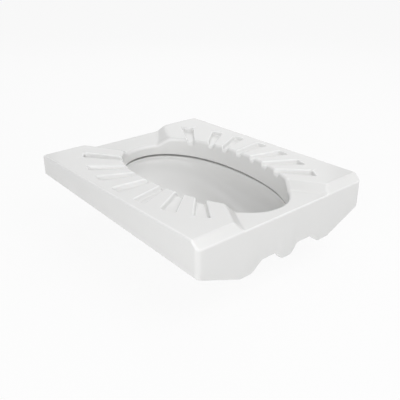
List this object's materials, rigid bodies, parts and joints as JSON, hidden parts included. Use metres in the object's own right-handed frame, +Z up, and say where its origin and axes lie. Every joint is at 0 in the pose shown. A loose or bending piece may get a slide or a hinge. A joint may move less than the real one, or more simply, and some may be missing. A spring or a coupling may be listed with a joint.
{
  "type": "squat toilet pan",
  "caption": "Glazed white china squat toilet pan with two ribbed foot treads, end drain channels, a flushing rim, an egg-shaped bowl, a vertical outlet and a rear flush inlet.",
  "frame": {"origin": "middle of the pan's footprint, on the level that it stands on, which is the outlet spigot's lower end", "axes": "+X across the pan to the right when facing the inlet end, +Y along it towards the flush inlet end, +Z up"},
  "size_m": [0.5, 0.6, 0.19],
  "materials": {
    "glazed_china": "white vitreous china with a clear gloss glaze",
    "seal_rubber": "matt black EPDM rubber"
  },
  "bodies": {
    "root": {"deck": "glazed_china", "rim_lip": "glazed_china", "rim_channel": "glazed_china", "rim_end_block": "glazed_china", "bowl": "glazed_china", "outlet_spigot": "glazed_china", "left_skirt": "glazed_china", "right_skirt": "glazed_china", "near_end_wall": "glazed_china", "far_end_wall": "glazed_china", "flush_box": "glazed_china", "inlet_horn": "glazed_china", "inlet_seal": "seal_rubber", "outlet_seal": "seal_rubber"}
  },
  "joints": []
}
